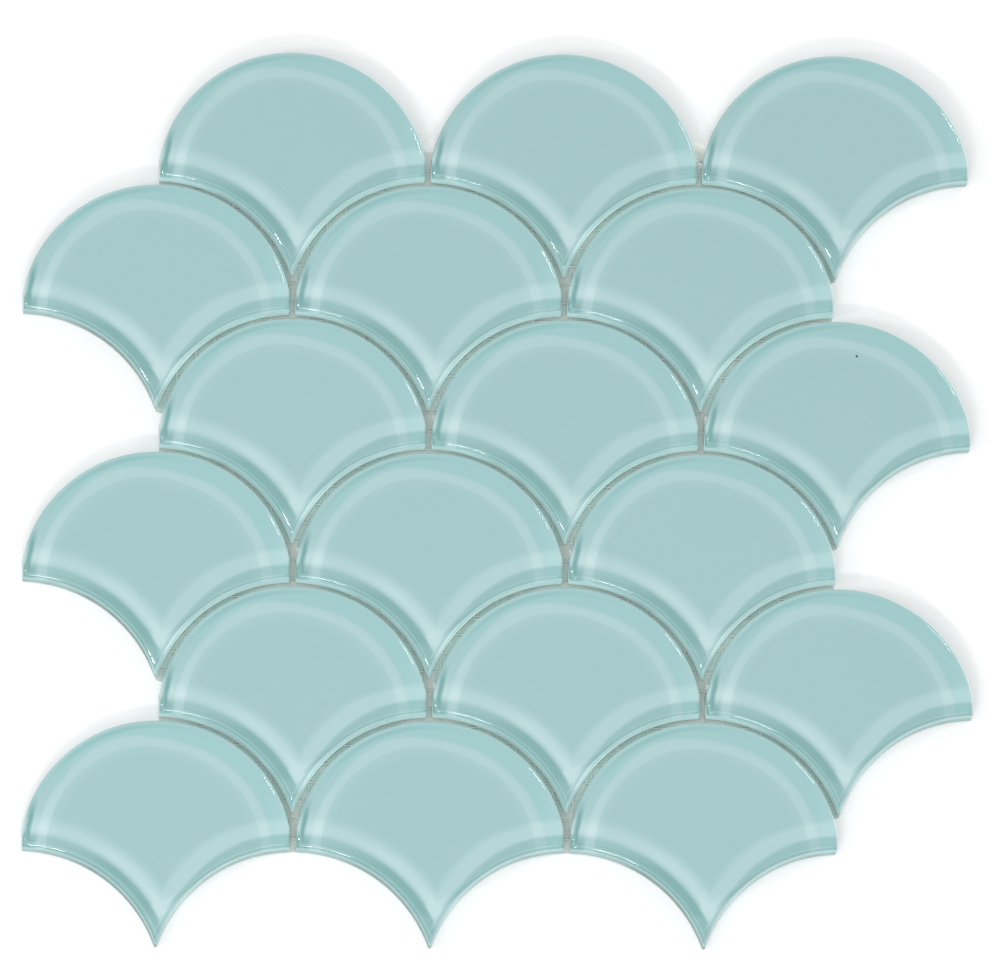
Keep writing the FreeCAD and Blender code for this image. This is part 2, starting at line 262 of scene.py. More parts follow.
class Finish:
    """A material while it is put together."""

    MIX_SOCKETS = {"factor": 0, "first": 6, "second": 7, "result": 2}
    NOISE_MIDDLE = 0.5
    NOISE_DETAIL = 3.0

    def __init__(self, name):
        self.material = bpy.data.materials.new(name)
        self.material.use_nodes = True
        self.tree = self.material.node_tree
        self.tree.nodes.clear()

    def node(self, kind, settings=None, sockets=None):
        """Adds a node: its settings first, then the values or links of its sockets."""
        node = self.tree.nodes.new(kind)
        for name, value in (settings or {}).items():
            if name == "stops":
                self.set_stops(node.color_ramp, value)
            else:
                setattr(node, name, value)
        for key, value in (sockets or {}).items():
            if isinstance(value, Field):
                value = value.socket
            if isinstance(value, bpy.types.NodeSocket):
                self.tree.links.new(value, node.inputs[key])
            else:
                node.inputs[key].default_value = value
        return node

    def set_stops(self, ramp, stops):
        while len(ramp.elements) < len(stops):
            ramp.elements.new(1)
        for element, (place, tint) in zip(ramp.elements, stops):
            element.position = place
            element.color = (*tint, 1)

    def math(self, operation, *values):
        node = self.node("ShaderNodeMath", {"operation": operation}, dict(enumerate(values)))
        return Field(self, node.outputs["Value"])

    def larger(self, first, second):
        return self.math("MAXIMUM", first, second)

    def smaller(self, first, second):
        return self.math("MINIMUM", first, second)

    def root(self, value):
        return self.math("SQRT", value)

    def size(self, value):
        return self.math("ABSOLUTE", value)

    def rise(self, start, end, value):
        """0 at start and 1 at end, with a smooth slope between; start may be above end."""
        node = self.node(
            "ShaderNodeMapRange",
            {"interpolation_type": "SMOOTHSTEP"},
            {"Value": value, "From Min": start, "From Max": end},
        )
        return Field(self, node.outputs["Result"])

    def band(self, start, end, slope, value):
        """1 between start and end, with soft sides that are slope wide."""
        half = slope / 2
        up = self.rise(start - half, start + half, value)
        return up * self.rise(end + half, end - half, value)

    def towards(self, value, goal, share):
        return value + (goal - value) * share

    def blend(self, first, second, factor, way="MIX"):
        """Two colours put together."""
        places = self.MIX_SOCKETS
        node = self.node(
            "ShaderNodeMix",
            {"data_type": "RGBA", "blend_type": way},
            {places["factor"]: factor, places["first"]: first, places["second"]: second},
        )
        return node.outputs[places["result"]]

    def plan(self, map_name):
        """The two coordinates of a UV map."""
        uv = self.node("ShaderNodeUVMap", {"uv_map": map_name})
        parts = self.node("ShaderNodeSeparateXYZ", None, {"Vector": uv.outputs["UV"]})
        return Field(self, parts.outputs["X"]), Field(self, parts.outputs["Y"])

    def place(self):
        """The socket of the object's own coordinates, and its three parts in millimetres."""
        source = self.node("ShaderNodeTexCoord").outputs["Object"]
        parts = self.node("ShaderNodeSeparateXYZ", None, {"Vector": source})
        return source, [Field(self, parts.outputs[axis]) / MM for axis in "XYZ"]

    def noise(self, source, scale):
        """Soft noise about 0, with so many waves to the metre."""
        sockets = {"Vector": source, "Scale": scale, "Detail": self.NOISE_DETAIL}
        node = self.node("ShaderNodeTexNoise", None, sockets)
        return Field(self, node.outputs["Fac"]) - self.NOISE_MIDDLE

    def relief(self, height, strength, depth):
        """The socket of a surface that rises and falls with height, at full strength by depth."""
        sockets = {"Strength": strength, "Distance": depth, "Height": height}
        return self.node("ShaderNodeBump", None, sockets).outputs["Normal"]

    def surface(self, sockets):
        """The finished material, from the values or links of its shader's sockets."""
        shader = self.node("ShaderNodeBsdfPrincipled", None, sockets)
        self.node("ShaderNodeOutputMaterial", None, {"Surface": shader.outputs["BSDF"]})
        return self.material


# Painted bands of light and shade in the glass: millimetres from an edge or the fan's middle, and tones
# from the body colour.
TONE_REACH = 44.0
RAMP_MIDDLE = 0.5
DEEP_TONE = -40.0
DIM_TONE = -16.0
PALE_TONE = 12.0
BRIGHT_TONE = 40.0

LEFT_GLOW_RISE = (3.7, 6.2)
LEFT_GLOW_FALL = (11.8, 6.7)
LEFT_GLOW_TONE = 17.0
LEFT_GLOW_GAIN = 7.0
LEFT_GLOW_HEIGHTS = (6.0, -2.0)
RIGHT_GLOW_RISE = (-0.5, 0.9)
RIGHT_GLOW_FALL = (6.4, 3.6)
RIGHT_GLOW_TONE = 14.0
RIGHT_GLOW_GAIN = 16.0
TIP_HEIGHTS = (-9.0, -17.0)
TIP_GLOW_GAIN = 8.0
RIGHT_TIP_HEIGHTS = (-11.5, -16.5)

RIGHT_EDGE = 3.75
RIGHT_EDGE_SLOPE = 0.17
RIGHT_EDGE_LIMITS = (2.15, 4.5)
RIGHT_DARK_FALL = (0.5, -0.8)
RIGHT_DARK_TONE = -14.0
RIGHT_DARK_LOSS = 35.0
RIGHT_DARK_HEIGHTS = (-12.0, -18.0)
RIGHT_DARK_TIP_TONE = -37.0
RIGHT_DARK_TIP = (-21.0, -25.0)

LEFT_DARK_FALL = (4.9, 3.4)
LEFT_DARK_TONE = -15.0
LEFT_DARK_GAIN = -19.0
LEFT_DARK_HEIGHTS = (4.5, -5.0)
LEFT_DARK_LOSS = 13.0
LEFT_DARK_TIP = (-17.0, -21.5)
LEFT_HALF_TONE = 4.0
LEFT_HALF_RISE = (1.9, 2.9)
LEFT_HALF_HEIGHTS = (-6.0, -1.0)

EDGE_STRIP = (1.0, 0.3)
LEFT_EDGE_STRIP = (0.7, 0.2)
LEFT_STRIP_TONE = 2.0
LEFT_STRIP_GAIN = 10.0
LEFT_STRIP_HEIGHTS = (-2.0, 3.0)
RIGHT_STRIP_TONE = 24.0
RIGHT_STRIP_GAIN = 14.0
RIGHT_STRIP_HEIGHTS = (2.0, -4.0)
RIGHT_STRIP_LOSS = -18.0
RIGHT_STRIP_TIP = (-20.0, -25.0)
RIGHT_STRIP_SPREAD = 0.5
RIGHT_STRIP_SPREAD_HEIGHTS = (-8.0, -17.0)
HOLLOW_LINE = (0.3, 1.1)
HOLLOW_LINE_SLOPE = 0.5
LEFT_LINE_TONE = -10.0
RIGHT_LINE_TONE = -18.0

RING_START = 6.37
RING_START_LEFT = -1.35
RING_START_SIDES = (11.0, -11.0)
RING_PULL = -1.3
RING_PULL_ANGLE = math.radians(114)
RING_PULL_SHARPNESS = 20.0
RING_END = 9.8
RING_END_LEFT = -1.9
RING_END_SIDES = (16.0, -14.0)
RING_END_CORNER = 0.6
CORNER_SIDES = (-28.0, -37.0)
RING_SHIFT_RIGHT = -0.6
RIGHT_SIDES = (33.0, 40.0)
RING_SLOPE = 1.2
RING_TONE = 9.0
RING_CORNER_TONE = 8.0
RING_TAIL = 4.0
RING_TAIL_TONE = 4.5

OUTER_TONE = 4.0
OUTER_CORNER_TONE = 5.0
OUTER_CORNER_HEIGHTS = (17.0, 11.0)
OUTER_RIGHT_TONE = 6.0
RIM_LIFT = 17.0
RIM_LIFT_WIDTH = 1.6
RIM_LIFT_CORNER = 0.95
RIM_LINE = (1.2, 2.7)
RIM_LINE_SLOPE = 1.0
RIM_LINE_TONE = -15.0
RIM_LINE_SHARPNESS = 8.0
CORNER_LINE = (1.25, 2.75)
CORNER_LINE_SLOPE = 1.3
CORNER_LINE_TONE = -64.0
CORNER_DRIFT = 0.12
CORNER_DRIFT_START = 11.0
CORNER_HEIGHTS = (19.5, 10.0)
CORNER_FOOT = (3.0, 6.5)
SHADE_POOL_TONE = -24.0
SHADE_POOL_REACH = (6.0, 3.5)
SHADE_POOL_HEIGHTS = (7.5, 4.0)

LEAK_WIDTH = (0.7, 0.0)
RIM_LEAK = 0.26
RIM_LEAK_SIDES = (8.0, 24.0)
HOLLOW_LEAK = 0.1
TIP_LEAK = 0.14
TIP_LEAK_HEIGHTS = (-12.0, -18.0)
TIP_LEAK_END = (-20.0, -24.0)

# Free lower edge and sides of the sheet, in millimetres from its middle, and their loss of painted
# light and glow.
FREE_FOOT = (-110.0, -113.0)
FREE_SIDE = (109.0, 111.0)
FREE_LOSS = 0.16
FREE_STRIP_LOSS = 15.0

# A speck of dirt, in millimetres from the middle of the sheet.
SPECK_PLACE = (115.0, 46.2)
SPECK_EDGE = (0.5, 0.25)

# Noise in the surfaces, in waves to the metre.
CLOUDS = 14.0
WEAR = 60.0
SMEARS = 120.0
STREAKS = 180.0
RIPPLE = 260.0
BLOTCHES = 350.0
DRIPS = 420.0
GRAIN = 500.0
CHALK = 900.0
GRIND = 1500.0

# Gloss of the glass and the faint clouds in its colour. A relief is its strength and its depth.
CLOUD_TONE = 4.0
GRAIN_TONE = 3.0
GLASS_ROUGHNESS = 0.05
GLASS_WEAR = 0.04
GLASS_IOR = 1.5
GLAZE_ROUGHNESS = 0.03
GLAZE_IOR = 1.6
GLASS_RELIEF = (0.05, 0.1 * MM)


def free_edges(finish, across, along):
    """1 on the parts of the outermost tiles whose hollow sides stand free, and 0 elsewhere."""
    sides = finish.rise(*FREE_SIDE, finish.size(across))
    return finish.larger(sides, finish.rise(*FREE_FOOT, along))


def glass_tone(finish, x, y, tile, free):
    """Painted light and shade on the coloured back where the edges bend light, share of the outer band,
    and a painted glow of leaking light.
    """
    fan = tile.fan_radius / MM
    hollow = tile.hollow_radius / MM
    side = tile.pitch / 2 / MM
    drop = tile.row_pitch / MM
    upper = finish.larger(y, 0.0)
    reach = finish.root(x * x + upper * upper)
    rim = fan - reach
    left = finish.root((x + side) ** 2 + (y + drop) ** 2) - hollow
    right = finish.root((x - side) ** 2 + (y + drop) ** 2) - hollow

    # Painted light: pale glow inside the hollow sides, brightest above the tip.
    tip = finish.rise(*TIP_HEIGHTS, y)
    glow = LEFT_GLOW_TONE + LEFT_GLOW_GAIN * finish.rise(*LEFT_GLOW_HEIGHTS, y) + TIP_GLOW_GAIN * tip
    glow = glow * finish.rise(*LEFT_GLOW_RISE, left) * finish.rise(*LEFT_GLOW_FALL, left)
    low, high = RIGHT_EDGE_LIMITS
    edge = finish.smaller(finish.larger(RIGHT_EDGE + RIGHT_EDGE_SLOPE * y, low), high)
    beyond = right - edge
    glow_right = RIGHT_GLOW_TONE + RIGHT_GLOW_GAIN * finish.rise(*RIGHT_TIP_HEIGHTS, y)
    glow_right = glow_right * finish.rise(*RIGHT_GLOW_RISE, beyond)
    glow_right = glow_right * finish.rise(*RIGHT_GLOW_FALL, beyond)
    tone = finish.larger(glow, glow_right)

    # Painted shade: dark bands along the hollow sides. The left one is deeper and lies over the right
    # glow.
    dark = LEFT_DARK_TONE + LEFT_DARK_GAIN * finish.rise(*LEFT_DARK_HEIGHTS, y)
    dark = dark + LEFT_DARK_LOSS * finish.rise(*LEFT_DARK_TIP, y)
    half = finish.rise(*LEFT_HALF_RISE, left) * finish.rise(*LEFT_HALF_HEIGHTS, y)
    dark = dark + LEFT_HALF_TONE * half
    tone = finish.towards(tone, dark, finish.rise(*LEFT_DARK_FALL, left))
    dark = RIGHT_DARK_TONE + RIGHT_DARK_LOSS * finish.rise(*RIGHT_DARK_HEIGHTS, y)
    dark = dark + RIGHT_DARK_TIP_TONE * finish.rise(*RIGHT_DARK_TIP, y)
    tone = finish.towards(tone, dark, finish.rise(*RIGHT_DARK_FALL, beyond))

    # Painted light and shade on the rounded edge itself: paler strips, less bright on free edges, and
    # thin dark lines along the hollow sides.
    loss = FREE_STRIP_LOSS * free
    strip = LEFT_STRIP_TONE + LEFT_STRIP_GAIN * finish.rise(*LEFT_STRIP_HEIGHTS, y) - loss
    tone = finish.towards(tone, strip, finish.rise(*LEFT_EDGE_STRIP, left))
    strip = RIGHT_STRIP_TONE + RIGHT_STRIP_GAIN * finish.rise(*RIGHT_STRIP_HEIGHTS, y)
    strip = strip + RIGHT_STRIP_LOSS * finish.rise(*RIGHT_STRIP_TIP, y) - loss
    inside = right - RIGHT_STRIP_SPREAD * finish.rise(*RIGHT_STRIP_SPREAD_HEIGHTS, y)
    tone = finish.towards(tone, strip, finish.rise(*EDGE_STRIP, inside))
    tone = tone + LEFT_LINE_TONE * finish.band(*HOLLOW_LINE, HOLLOW_LINE_SLOPE, left)
    tone = tone + RIGHT_LINE_TONE * finish.band(*HOLLOW_LINE, HOLLOW_LINE_SLOPE, inside)

    # Painted light: a pale ring inside the round top, which runs on as a stripe down to the hollow
    # sides.
    lean = x * math.cos(RING_PULL_ANGLE) + upper * math.sin(RING_PULL_ANGLE)
    lean = finish.larger(lean / reach, 0.0)
    start = RING_START + RING_START_LEFT * finish.rise(*RING_START_SIDES, x)
    start = start + RING_PULL * lean**RING_PULL_SHARPNESS
    corner = finish.rise(*CORNER_SIDES, x)
    shift = RING_SHIFT_RIGHT * finish.rise(*RIGHT_SIDES, x)
    start = start + shift
    end = shift + RING_END + RING_END_LEFT * finish.rise(*RING_END_SIDES, x) + RING_END_CORNER * corner
    ring = finish.band(start, end, RING_SLOPE, rim)
    tone = tone + ring * (RING_TONE + RING_CORNER_TONE * corner)
    tail = finish.rise(start, start + RING_SLOPE, rim) * finish.rise(end + RING_TAIL, end, rim)
    tone = tone + RING_TAIL_TONE * tail

    # Painted light and shade in the band outside the ring: its thin dark lines, a dark line and pool of
    # shade at the left corner, and a lift on its rounded edge that makes up for the shade there.
    outer = finish.rise(start + RING_SLOPE / 2, start - RING_SLOPE / 2, rim)
    ends = OUTER_CORNER_TONE * corner * finish.rise(*OUTER_CORNER_HEIGHTS, y)
    ends = ends + OUTER_RIGHT_TONE * finish.rise(*RIGHT_SIDES, x)
    tone = tone + outer * (OUTER_TONE + ends)
    lift = RIM_LIFT * (1.0 - RIM_LIFT_CORNER * corner)
    tone = tone + lift * finish.larger(RIM_LIFT_WIDTH - rim, 0.0)
    line = finish.band(*RIM_LINE, RIM_LINE_SLOPE, rim) * lean**RIM_LINE_SHARPNESS
    tone = tone + RIM_LINE_TONE * line
    drift = CORNER_DRIFT * finish.larger(y - CORNER_DRIFT_START, 0.0)
    line = finish.band(*CORNER_LINE, CORNER_LINE_SLOPE, rim + drift) * corner
    line = line * finish.rise(*CORNER_HEIGHTS, y) * finish.rise(*CORNER_FOOT, y)
    tone = tone + CORNER_LINE_TONE * line
    shade_pool = corner * finish.rise(*SHADE_POOL_REACH, rim) * finish.rise(*SHADE_POOL_HEIGHTS, y)
    tone = tone + SHADE_POOL_TONE * shade_pool

    # Painted glow: light that leaves the glass at its very edge, given as emission.
    leak = HOLLOW_LEAK * finish.rise(*LEAK_WIDTH, finish.smaller(left, right))
    end = finish.rise(*TIP_LEAK_HEIGHTS, y) * (1.0 - finish.rise(*TIP_LEAK_END, y))
    leak = (leak + TIP_LEAK * end * finish.rise(*LEAK_WIDTH, inside)) * (1.0 - free)
    leak = leak + RIM_LEAK * finish.rise(*LEAK_WIDTH, rim) * finish.rise(*RIM_LEAK_SIDES, x)
    return tone, outer * (1.0 - corner), leak


def glass_finish(settings):
    """Clear glass over a coloured back."""
    finish = Finish("aqua_glass")
    hues = settings.glass
    x, y = finish.plan(PLAN_MAP)
    source, (across, along, _) = finish.place()
    free = free_edges(finish, across, along)
    tone, outer, leak = glass_tone(finish, x, y, settings.tile, free)
    tone = tone + CLOUD_TONE * finish.noise(source, CLOUDS) + GRAIN_TONE * finish.noise(source, GRAIN)

    def stop(step):
        return step / (2 * TONE_REACH) + RAMP_MIDDLE

    # Painted light and shade: the ramp turns the painted tone into the glass's colours, and mint tints
    # the painted band outside the ring.
    ramp = finish.node(
        "ShaderNodeValToRGB",
        {
            "stops": (
                (stop(DEEP_TONE), hues.deep),
                (stop(DIM_TONE), hues.dim),
                (stop(0.0), hues.body),
                (stop(PALE_TONE), hues.pale),
                (stop(BRIGHT_TONE), hues.bright),
            )
        },
        {"Fac": stop(tone)},
    )
    tint = finish.blend(ramp.outputs["Color"], (*hues.mint, 1), outer, "MULTIPLY")
    away = finish.root((across - SPECK_PLACE[0]) ** 2 + (along - SPECK_PLACE[1]) ** 2)
    tint = finish.blend(tint, (*hues.speck, 1), finish.rise(*SPECK_EDGE, away))
    # Painted glow: light leaking from the glass's edges, given as emission.
    light = finish.blend(BLACK, (*hues.carried, 1), leak)
    return finish.surface(
        {
            "Base Color": tint,
            "Roughness": GLASS_ROUGHNESS + GLASS_WEAR * finish.noise(source, WEAR),
            "IOR": GLASS_IOR,
            "Coat Weight": 1.0,
            "Coat Roughness": GLAZE_ROUGHNESS,
            "Coat IOR": GLAZE_IOR,
            "Emission Color": light,
            "Emission Strength": 1.0,
            "Normal": finish.relief(finish.noise(source, RIPPLE), *GLASS_RELIEF),
        }
    )


# The side of a tile, with a painted glow of carried light. Heights are millimetres, and levels are
# shares of the carried light.
FOOT_HEIGHT = 0.7
FOOT_DRIP = 0.8
FOOT_SOFTNESS = 0.3
FOOT_SHADE = 0.7
CARRIED = 0.34
CARRIED_STREAK = 0.25
HOLLOW_HEIGHTS = (8.0, 3.0)
HOLLOW_GAIN = 0.09
UPPER_GAIN = 0.1
UPPER_HEIGHTS = (3.0, 8.0)
CORNER_GAIN = 0.18
CORNER_RISE = (-4.0, 1.5)
RIGHT_HALF = (-3.0, 8.0)
RIGHT_GAIN = 0.17
SIDE_TIP_GAIN = 0.16
SIDE_TIP = (-4.0, -15.0)
SIDE_ROUGHNESS = 0.5
FOOT_ROUGHNESS = 0.3
SIDE_GLOSS = 0.1
SIDE_RELIEF = (0.3, 0.1 * MM)


def side_finish(settings):
    """The ground side of the glass, with a painted glow for the light it passes on from within, and
    coat and glue below.
    """
    finish = Finish("glass_side")
    hues = settings.glass
    x, y = finish.plan(PLAN_MAP)
    source, (across, along, height) = finish.place()
    edge = TILE_FOOT / MM + FOOT_HEIGHT + FOOT_DRIP * finish.noise(source, DRIPS)
    covered = finish.rise(edge + FOOT_SOFTNESS, edge - FOOT_SOFTNESS, height)
    gain = HOLLOW_GAIN + UPPER_GAIN * finish.rise(*UPPER_HEIGHTS, height)
    left = CORNER_GAIN * finish.rise(*CORNER_RISE, y)
    right = RIGHT_GAIN + SIDE_TIP_GAIN * finish.rise(*SIDE_TIP, y)
    gain = gain + finish.towards(left, right, finish.rise(*RIGHT_HALF, x))
    gain = gain - FREE_LOSS * free_edges(finish, across, along)
    # Painted glow, given as emission: stronger on the hollow sides and higher up them, towards the left
    # corner and the right half, weaker on free edges and at the covered foot.
    carried = CARRIED + CARRIED_STREAK * finish.noise(source, STREAKS)
    carried = carried + gain * finish.rise(*HOLLOW_HEIGHTS, y)
    carried = carried * (1.0 - FOOT_SHADE * covered)
    return finish.surface(
        {
            "Base Color": finish.blend((*hues.wall, 1), (*hues.foot, 1), covered),
            "Roughness": SIDE_ROUGHNESS + FOOT_ROUGHNESS * covered,
            "Specular IOR Level": SIDE_GLOSS,
            "Emission Color": finish.blend(BLACK, (*hues.carried, 1), carried),
            "Emission Strength": 1.0,
            "Normal": finish.relief(finish.noise(source, GRIND), *SIDE_RELIEF),
        }
    )


# The painted back and the smears of adhesive on it.
SMEAR_EDGE = (-0.02, 0.2)
SMEAR_SHARE = 0.4
COAT_ROUGHNESS = 0.7
SMEAR_GLOSS = 0.3
COAT_RELIEF = (0.3, 0.2 * MM)


def coat_finish(settings):
    """The painted back of the glass, chalky, with smears of adhesive."""
    finish = Finish("back_coat")
    source, _ = finish.place()
    smear = finish.rise(*SMEAR_EDGE, finish.noise(source, SMEARS))
    return finish.surface(
        {
            "Base Color": finish.blend(
                (*settings.glass.coat, 1), (*settings.net.film, 1), SMEAR_SHARE * smear
            ),
            "Roughness": COAT_ROUGHNESS - SMEAR_GLOSS * smear,
            "Normal": finish.relief(finish.noise(source, CHALK) + smear, *COAT_RELIEF),
        }
    )


# The yarn. Turns of its fibres are radians to the millimetre, and shades are shares of the dark colour.
FIBRE_TURNS = 9.0
FIBRE_DARKNESS = 0.6
YARN_SHADE = 0.1
FIBRE_SHADE = 0.1
GRAIN_SHADE = 0.3
YARN_ROUGHNESS = 0.55
FIBRE_ROUGHNESS = 0.15
YARN_RELIEF = (0.4, 0.05 * MM)


def yarn_finish(settings):
    """Coated glass-fibre yarn, with fibres that wind round it."""
    finish = Finish("net_yarn")
    along, around = finish.plan(YARN_MAP)
    source, _ = finish.place()
    winding = finish.math("SINE", along * FIBRE_TURNS + around * math.tau)
    shade = YARN_SHADE + FIBRE_SHADE * winding + GRAIN_SHADE * finish.noise(source, GRAIN)
    dark = tuple(part * FIBRE_DARKNESS for part in settings.net.yarn)
    return finish.surface(
        {
            "Base Color": finish.blend(
                (*settings.net.yarn, 1), (*dark, 1), finish.larger(shade, 0.0)
            ),
            "Roughness": YARN_ROUGHNESS + FIBRE_ROUGHNESS * winding,
            "Normal": finish.relief(winding, *YARN_RELIEF),
        }
    )


# The film of adhesive, with painted light at the crowns and a painted glow in the joints and notches.
# Heights in the notches are millimetres from the middle of the sheet.
BLOTCH_EDGE = (-0.05, 0.2)
CROWN_REACH = (14.0, 7.0)
JOINT_GLOW = 0.034
NOTCH_GLOW = 0.34
NOTCH_RISE = (107.0, 113.0)
NOTCH_RISE_SHARE = 0.35
NOTCH_HEAD_RISE = (112.5, 116.5)
FILM_ROUGHNESS = 0.45
BLOTCH_ROUGHNESS = 0.4
FILM_RELIEF = (0.5, 0.1 * MM)


def film_finish(settings):
    """Dried adhesive between the strands, paler in blotches, with painted light that makes it paler at
    the crowns and uprights, and a painted glow in the joints and notches.
    """
    finish = Finish("adhesive_film")
    from_crown, _ = finish.plan(PLAN_MAP)
    source, (_, along, _) = finish.place()
    blotch = finish.noise(source, BLOTCHES)
    # Painted light: paler near the crowns and in the uprights, where more light falls in; blotches are
    # paler patches of adhesive.
    crown_light = finish.rise(*CROWN_REACH, finish.size(from_crown))
    pale = finish.larger(crown_light, finish.rise(*BLOTCH_EDGE, blotch))
    # Painted glow: faint light tinted by the glass in the joints, brighter high in the notches.
    notch = NOTCH_RISE_SHARE * finish.rise(*NOTCH_RISE, along)
    notch = notch + (1.0 - NOTCH_RISE_SHARE) * finish.rise(*NOTCH_HEAD_RISE, along)
    joint_light = tuple(part * JOINT_GLOW for part in settings.glass.carried)
    notch_light = tuple(part * NOTCH_GLOW for part in settings.net.glue)
    return finish.surface(
        {
            "Base Color": finish.blend((*settings.net.film, 1), (*settings.net.film_pale_and_lit, 1), pale),
            "Roughness": FILM_ROUGHNESS + BLOTCH_ROUGHNESS * blotch,
            "Emission Color": finish.blend((*joint_light, 1), (*notch_light, 1), notch),
            "Emission Strength": 1.0,
            "Normal": finish.relief(blotch, *FILM_RELIEF),
        }
    )


# The strings of glue, with a painted glow.
GLUE_GLOW = 0.4
CLOUDY_LEVEL = 0.8
CLOUDY_SHARE = 0.5
GLUE_ROUGHNESS = 0.15
GLUE_WEAR = 0.2
GLUE_GLAZE = 0.5
GLUE_RELIEF = (0.3, 0.1 * MM)


def glue_finish(settings):
    """Strings of clear glue that dried white and glossy, with a painted glow."""
    finish = Finish("glue_string")
    source, _ = finish.place()
    blotch = finish.noise(source, GRIND)
    cloudy = tuple(part * CLOUDY_LEVEL for part in settings.net.glue)
    cloud = CLOUDY_SHARE + blotch
    return finish.surface(
        {
            "Base Color": finish.blend((*settings.net.glue, 1), (*cloudy, 1), cloud),
            "Roughness": GLUE_ROUGHNESS + GLUE_WEAR * blotch,
            "Coat Weight": GLUE_GLAZE,
            "Emission Color": (*settings.net.glue, 1),
            "Emission Strength": GLUE_GLOW,
            "Normal": finish.relief(blotch, *GLUE_RELIEF),
        }
    )


def to_mesh(bm, name):
    """The mesh of a finished bmesh, which is freed."""
    mesh = bpy.data.meshes.new(name)
    bm.to_mesh(mesh)
    bm.free()
    return mesh


class Pen:
    """Draws edges with a vertex that is swung about a centre or moved straight."""

    def __init__(self, bm, start):
        self.bm = bm
        self.first = bm.verts.new(start)
        self.last = self.first

    def swing(self, centre, angle, steps):
        made = bmesh.ops.spin(
            self.bm, geom=[self.last], cent=centre, axis=UP, angle=angle, steps=steps
        )
        self.last = next(v for v in made["geom_last"] if isinstance(v, bmesh.types.BMVert))

    def move(self, goal):
        self.last = bmesh.ops.extrude_vert_indiv(self.bm, verts=[self.last])["verts"][0]
        self.last.co = goal

    def close(self):
        bmesh.ops.weld_verts(self.bm, targetmap={self.last: self.first})


def turn(centre, start, end):
    """Signed angle from start to end about an upright axis through centre."""
    first = (start - centre).to_2d()
    second = (end - centre).to_2d()
    return second.angle_signed(first) if min(first.length, second.length) > WELD else 0.0


def draw_loop(bm, tile, inset, height):
    """The tile's outline moved inward by inset, at that height, as a closed loop of edges."""
    before = set(bm.edges)
    half_pitch = tile.pitch / 2
    side = tile.half_width - inset
    fan = tile.fan_radius - inset
    hollow = tile.hollow_radius + inset
    corner = max(tile.corner_radius - inset, 0.0)
    tip = max(tile.tip_radius - inset, 0.0)

    def point(x, y):
        return Vector((x, y, height))

    def mirror(place):
        return point(-place.x, place.y)

    centre = point(0, 0)
    left_hollow = point(-half_pitch, -tile.row_pitch)
    right_hollow = mirror(left_hollow)
    corner_x = side - corner
    rise = math.sqrt((hollow + corner) ** 2 - (half_pitch - corner_x) ** 2)
    right_corner = point(corner_x, rise - tile.row_pitch)
    left_corner = mirror(right_corner)
    tip_y = math.sqrt((hollow + tip) ** 2 - half_pitch**2) - tile.row_pitch
    tip_centre = point(0, tip_y)

    shoulder = point(side, math.sqrt(fan**2 - side**2))
    left_foot = point(-side, left_corner.y)
    left_heel = left_hollow + (left_corner - left_hollow).normalized() * hollow
    left_toe = left_hollow + (tip_centre - left_hollow).normalized() * hollow

    pen = Pen(bm, shoulder)
    pen.swing(centre, turn(centre, shoulder, mirror(shoulder)), FAN_STEPS)
    pen.move(left_foot)
    pen.swing(left_corner, turn(left_corner, left_foot, left_heel), CORNER_STEPS)
    pen.swing(left_hollow, turn(left_hollow, left_heel, left_toe), HOLLOW_STEPS)
    pen.swing(tip_centre, turn(tip_centre, left_toe, mirror(left_toe)), TIP_STEPS)
    pen.swing(right_hollow, turn(left_hollow, left_heel, left_toe), HOLLOW_STEPS)
    pen.swing(right_corner, turn(left_corner, left_foot, left_heel), CORNER_STEPS)
    pen.move(shoulder)
    pen.close()
    return [edge for edge in bm.edges if edge not in before]


# Material slots of a tile, and how far down a face points where it belongs to the back.
COAT_SLOT = 1
SIDE_SLOT = 2
DOWNWARD = -0.9


def make_tile_mesh(name, tile, centre):
    """A tile as a closed shell: flat back, upright sides, rounded upper edge, flat top."""
    bm = bmesh.new()
    back = draw_loop(bm, tile, 0.0, TILE_FOOT)
    bmesh.ops.contextual_create(bm, geom=back)
    lower = back
    top = TILE_TOP
    walls = []
    radius = tile.edge_radius
    sections = []
    for step in range(EDGE_STEPS + 1):
        angle = step / EDGE_STEPS * math.pi / 2
        sections.append((radius * (1 - math.cos(angle)), top - radius * (1 - math.sin(angle))))
    sections.append((radius + tile.flat_margin, top))
    for inset, height in sections:
        upper = draw_loop(bm, tile, inset, height)
        made = bmesh.ops.bridge_loops(bm, edges=lower + upper)
        walls = walls or made["faces"]
        lower = upper
    bmesh.ops.contextual_create(bm, geom=lower)
    for edge in back:
        edge.smooth = False
    for face in walls:
        face.material_index = SIDE_SLOT
    bmesh.ops.remove_doubles(bm, verts=bm.verts, dist=MERGE)
    bmesh.ops.recalc_face_normals(bm, faces=bm.faces)
    plan = bm.loops.layers.uv.new(PLAN_MAP)
    for face in bm.faces:
        face.smooth = True
        if face.normal.z < DOWNWARD:
            face.material_index = COAT_SLOT
        for loop in face.loops:
            loop[plan].uv = loop.vert.co.xy / MM
    bmesh.ops.translate(bm, verts=bm.verts, vec=centre)
    return to_mesh(bm, name)


def add_piece(name, mesh, slot, *materials):
    """Puts a mesh into the scene as a piece that rides on the sheet."""
    for material in materials:
        mesh.materials.append(material)
    piece = bpy.data.objects.new(name, mesh)
    bpy.context.scene.collection.objects.link(piece)
    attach(piece, "root")
    return piece


def tile_centre(place, tile):
    low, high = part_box(TILE_NODES[place])
    return Vector(((low.x + high.x) / 2, high.y - tile.fan_radius, 0))


